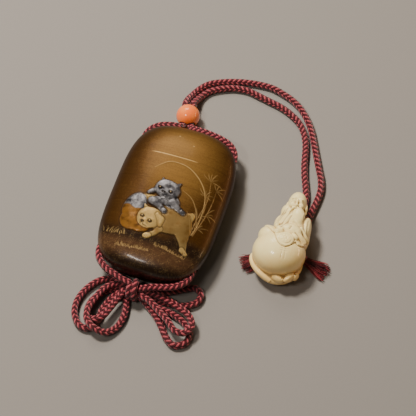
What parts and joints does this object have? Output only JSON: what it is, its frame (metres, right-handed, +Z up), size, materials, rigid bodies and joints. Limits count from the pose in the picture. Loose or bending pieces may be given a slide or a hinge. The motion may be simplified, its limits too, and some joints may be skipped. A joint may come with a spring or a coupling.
{
  "type": "inro case",
  "caption": "Lacquered inro of stacked fitted cases and a lid, lying on its back, strung on a silk cord with a bead and a carved toggle.",
  "frame": {"origin": "middle of the case's footprint, on the table that it lies on", "axes": "+X to the right, +Y along the case towards its lid, +Z up, out of its front"},
  "size_m": [0.1154, 0.1626, 0.0243],
  "materials": {
    "lacquer": "gold-sprinkled lacquer on thin wood, satin gloss, with low relief in gold, silver and dark lacquer",
    "coral": "polished orange coral",
    "ivory": "carved ivory, stained in its recesses and polished by handling",
    "cord": "round braided silk in dark maroon and pink"
  },
  "bodies": {
    "root": {"lid": "lacquer", "case_1": "lacquer", "case_2": "lacquer", "case_3": "lacquer", "case_4": "lacquer", "ojime_bead": "coral", "netsuke": "ivory", "cord_strand_outer": "cord", "cord_strand_inner": "cord", "cord_shoulder_right": "cord", "cord_shoulder_left": "cord", "cord_channel_right": "cord", "cord_channel_left": "cord", "cord_foot_right": "cord", "cord_foot_left": "cord", "bow_loops_left": "cord", "bow_loops_right": "cord", "bow_knot": "cord", "tassel_left": "cord", "tassel_right": "cord"}
  },
  "joints": []
}
